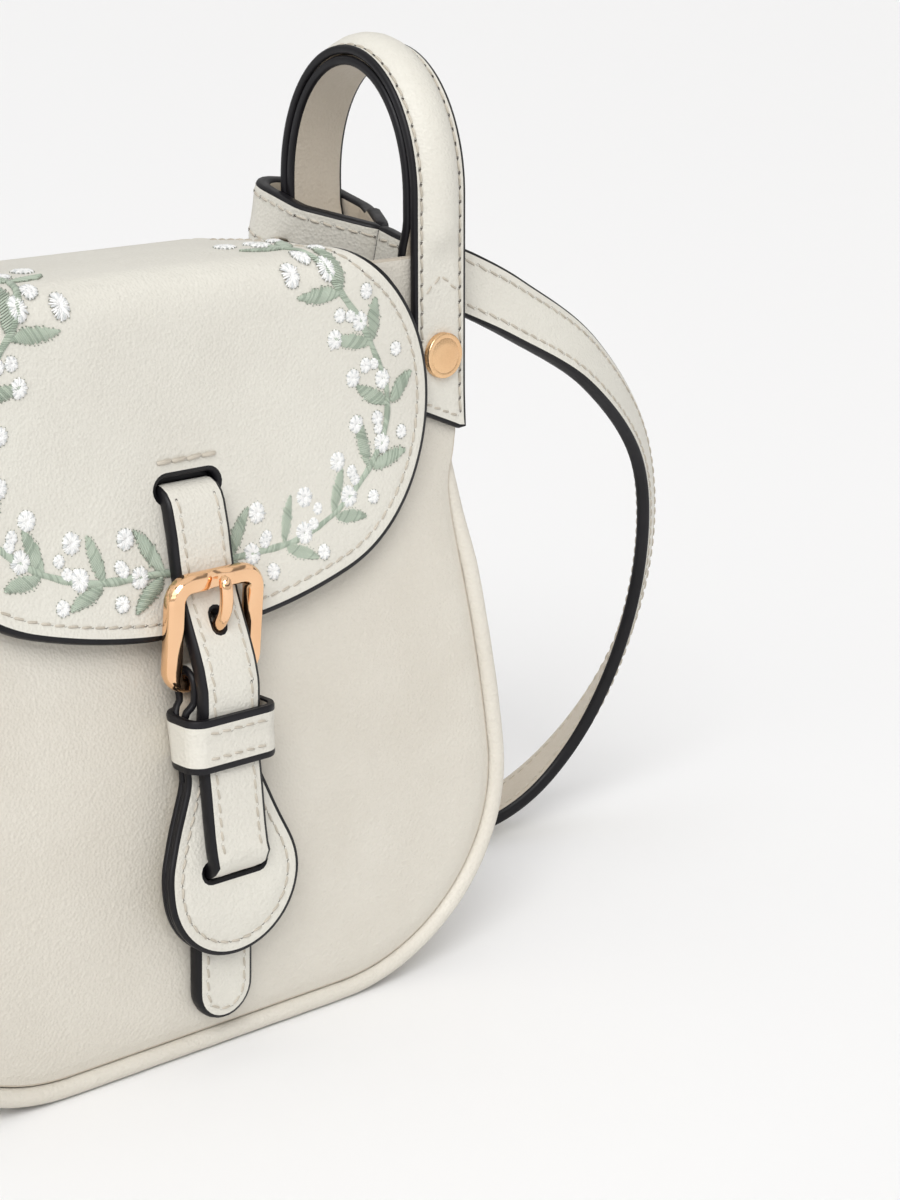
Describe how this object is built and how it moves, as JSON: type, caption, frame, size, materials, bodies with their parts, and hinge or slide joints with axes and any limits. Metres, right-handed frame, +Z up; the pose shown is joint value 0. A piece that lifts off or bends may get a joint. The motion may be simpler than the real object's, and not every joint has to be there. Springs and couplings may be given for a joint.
{
  "type": "shoulder bag",
  "caption": "Small belted shoulder bag with a round flap, a buckled belt through a keyhole tab, end handles and a short flat shoulder strap.",
  "frame": {"origin": "on the floor under the middle of the body", "axes": "+X across the bag to its right end seen from the front, -Y the front with the flap and belt, +Z up"},
  "size_m": [0.3112, 0.0906, 0.1894],
  "materials": {
    "leather": "smooth cream faux leather with fine grain and painted black edges",
    "leather_inner": "smooth cream faux leather, slightly duller",
    "lining": "plain woven lining",
    "board": "bonded fibre board",
    "padding": "soft filler cord",
    "rose_gold": "polished rose-gold plate"
  },
  "bodies": {
    "bag": {"front_panel": "leather", "back_panel": "leather", "gusset": "leather", "front_piping": "leather", "back_piping": "leather", "front_stiffener": "board", "back_stiffener": "board", "lining": "lining", "base_board": "board", "slip_pocket": "lining", "snap_socket": "rose_gold", "flap_back_strip": "leather", "right_handle_outer": "leather", "right_handle_core": "padding", "right_handle_inner": "leather_inner", "left_handle_outer": "leather", "left_handle_core": "padding", "left_handle_inner": "leather_inner", "handle_rivets": "rose_gold", "rivet_caps": "rose_gold", "right_strap_end": "leather", "left_strap_end": "leather"},
    "flap": {"flap_outer": "leather", "flap_lining": "leather_inner", "belt_root": "leather"},
    "belt": {"belt_strap": "leather", "tab_front": "leather", "tab_back": "leather", "snap_stud": "rose_gold"},
    "buckle": {"buckle_frame": "rose_gold"},
    "prong": {"buckle_prong": "rose_gold"},
    "keeper": {"keeper_loop": "leather"},
    "strap": {"strap_face": "leather", "strap_backing": "leather_inner"}
  },
  "joints": [
    {"name": "flap_open", "type": "hinge", "parent": "bag", "child": "flap", "pos_m": [0, 0.021, 0.1499], "axis": [-1, 0, 0], "range_deg": [0, 170]},
    {"name": "belt_swing", "type": "hinge", "parent": "flap", "child": "belt", "pos_m": [0, -0.02707, 0.1105], "axis": [-1, 0, 0], "range_deg": [0, 60]},
    {"name": "buckle_tilt", "type": "hinge", "parent": "belt", "child": "buckle", "pos_m": [0, -0.03064, 0.076], "axis": [1, 0, 0], "range_deg": [0, 8]},
    {"name": "prong_lift", "type": "hinge", "parent": "buckle", "child": "prong", "pos_m": [0, -0.03064, 0.076], "axis": [1, 0, 0], "range_deg": [0, 6]},
    {"name": "keeper_slide", "type": "slide", "parent": "belt", "child": "keeper", "axis": [0, -0.14, -0.9901], "range_m": [0, 0.003]},
    {"name": "strap_swing", "type": "hinge", "parent": "bag", "child": "strap", "pos_m": [0, -0.012, 0.1425], "axis": [1, 0, 0], "range_deg": [0, 290]}
  ]
}
